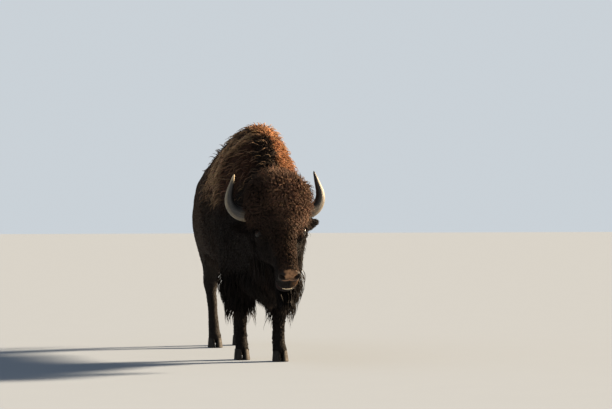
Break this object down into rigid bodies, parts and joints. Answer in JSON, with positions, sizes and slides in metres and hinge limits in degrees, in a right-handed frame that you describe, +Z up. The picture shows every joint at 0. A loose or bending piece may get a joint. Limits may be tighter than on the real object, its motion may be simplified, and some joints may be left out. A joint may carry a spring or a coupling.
{
  "type": "bison",
  "caption": "Life-size still model of a plains bison bull with shaggy cape, horns and beard, standing in a slow walk with its head low; rests on its hooves.",
  "frame": {"origin": "on the floor under the middle of the whole model's box", "axes": "+Z up; the bison faces -Y, and its own left side is +X"},
  "size_m": [0.7766, 2.8278, 1.7976],
  "materials": {
    "wool": "matte shaggy wool, faded at the tips",
    "dark_hair": "matte long dark hair",
    "hide": "matte short coat",
    "horn": "satin ridged horn",
    "hoof": "dull worn horn",
    "eye": "wet gloss"
  },
  "bodies": {
    "root": {"barrel": "hide", "beard": "dark_hair", "ear_left": "dark_hair", "ear_right": "dark_hair", "eye_left": "eye", "eye_right": "eye", "foreleg_left": "dark_hair", "foreleg_right": "dark_hair", "head": "dark_hair", "hindleg_left": "hide", "hindleg_right": "hide", "hoof_fore_left_inner": "hoof", "hoof_fore_left_outer": "hoof", "hoof_fore_right_inner": "hoof", "hoof_fore_right_outer": "hoof", "hoof_hind_left_inner": "hoof", "hoof_hind_left_outer": "hoof", "hoof_hind_right_inner": "hoof", "hoof_hind_right_outer": "hoof", "horn_left": "horn", "horn_right": "horn", "hump": "wool", "neck": "wool", "rump": "hide", "tail": "hide", "tail_tuft": "dark_hair"}
  },
  "joints": []
}
